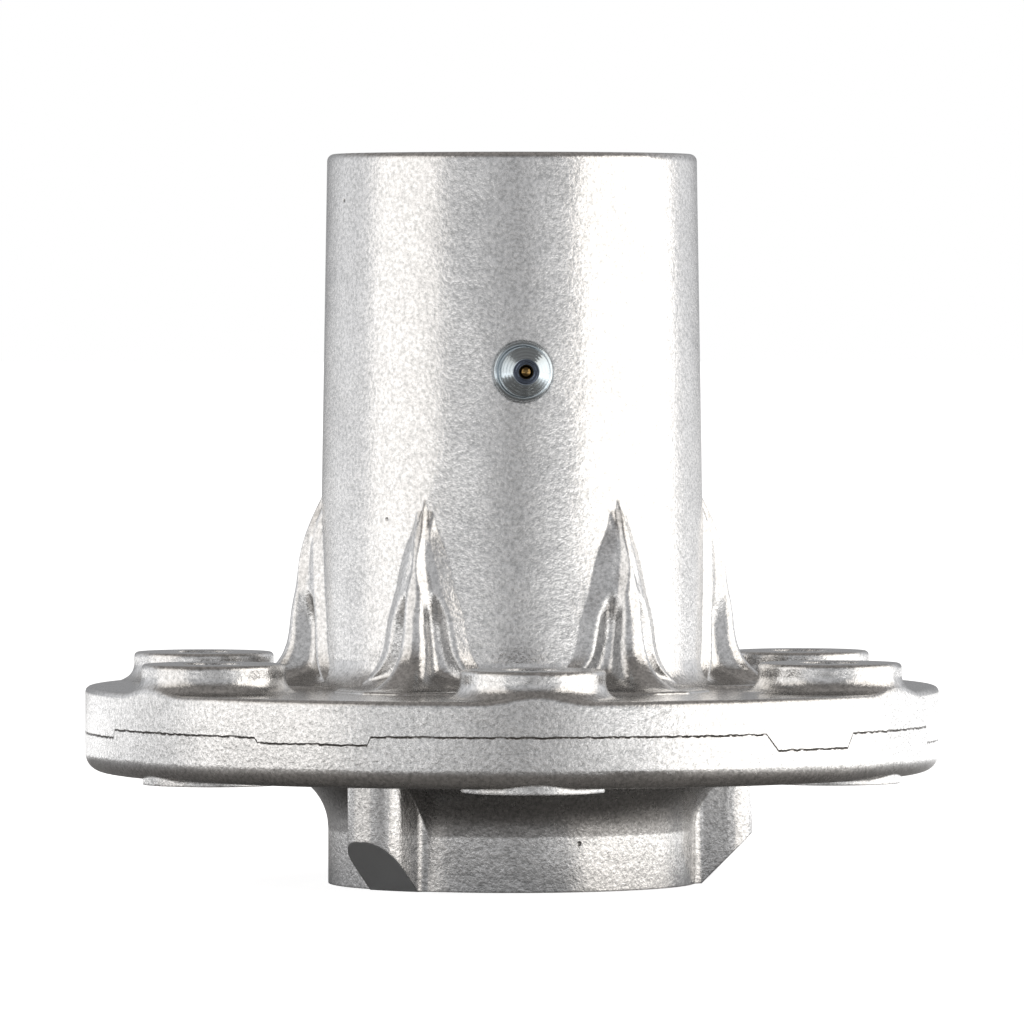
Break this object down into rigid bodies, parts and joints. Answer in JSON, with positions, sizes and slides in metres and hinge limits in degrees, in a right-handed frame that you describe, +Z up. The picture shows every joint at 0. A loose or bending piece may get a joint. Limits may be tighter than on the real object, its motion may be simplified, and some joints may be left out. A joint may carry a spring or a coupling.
{
  "type": "mower deck spindle housing",
  "caption": "Cast aluminium mower deck spindle: ribbed tube on a round bolt flange, with sealed ball bearings at both ends, a spacer sleeve and a side grease nipple.",
  "frame": {"origin": "on the spindle axis at the bottom face of the neck", "axes": "+Z up along the spindle axis from the neck to the tube's top; the grease nipple faces -Y"},
  "size_m": [0.1174, 0.1174, 0.1002],
  "materials": {
    "cast_aluminium": "blasted casting",
    "zinc_plated_steel": "bright zinc plate",
    "brass": "polished",
    "spring_steel": "drawn",
    "sleeve_steel": "turned",
    "ring_steel": "ground",
    "ball_steel": "polished",
    "cage_steel": "pressed",
    "seal_rubber": "moulded"
  },
  "bodies": {
    "housing_body": {"housing": "cast_aluminium", "nipple_body": "zinc_plated_steel", "nipple_spring": "spring_steel", "lower_bearing_outer_ring": "ring_steel", "lower_bearing_top_seal": "seal_rubber", "lower_bearing_bottom_seal": "seal_rubber", "upper_bearing_outer_ring": "ring_steel", "upper_bearing_top_seal": "seal_rubber", "upper_bearing_bottom_seal": "seal_rubber"},
    "rotor": {"spacer_sleeve": "sleeve_steel", "lower_bearing_inner_ring": "ring_steel", "upper_bearing_inner_ring": "ring_steel"},
    "lower_cage": {"lower_bearing_balls": "ball_steel", "lower_bearing_cage_top": "cage_steel", "lower_bearing_cage_bottom": "cage_steel", "lower_bearing_cage_rivets": "cage_steel"},
    "upper_cage": {"upper_bearing_balls": "ball_steel", "upper_bearing_cage_top": "cage_steel", "upper_bearing_cage_bottom": "cage_steel", "upper_bearing_cage_rivets": "cage_steel"},
    "check_ball": {"nipple_ball": "brass"}
  },
  "joints": [
    {"name": "rotor_spin", "type": "hinge", "parent": "housing_body", "child": "rotor", "pos_m": [0, 0, 0.0501], "axis": [0, 0, 1], "continuous": true},
    {"name": "lower_cage_orbit", "type": "hinge", "parent": "housing_body", "child": "lower_cage", "pos_m": [0, 0, 0.0068], "axis": [0, 0, 1], "continuous": true},
    {"name": "upper_cage_orbit", "type": "hinge", "parent": "housing_body", "child": "upper_cage", "pos_m": [0, 0, 0.0934], "axis": [0, 0, 1], "continuous": true},
    {"name": "check_ball_slide", "type": "slide", "parent": "housing_body", "child": "check_ball", "axis": [0, 1, 0], "range_m": [0, 0.0005], "stiffness_N_per_m": 150, "springref_m": -0.001, "deforming": ["nipple_spring"]}
  ],
  "couplings": [
    {"joint": "lower_cage_orbit", "follows": "rotor_spin", "ratio": 0.38175},
    {"joint": "upper_cage_orbit", "follows": "rotor_spin", "ratio": 0.38175}
  ]
}
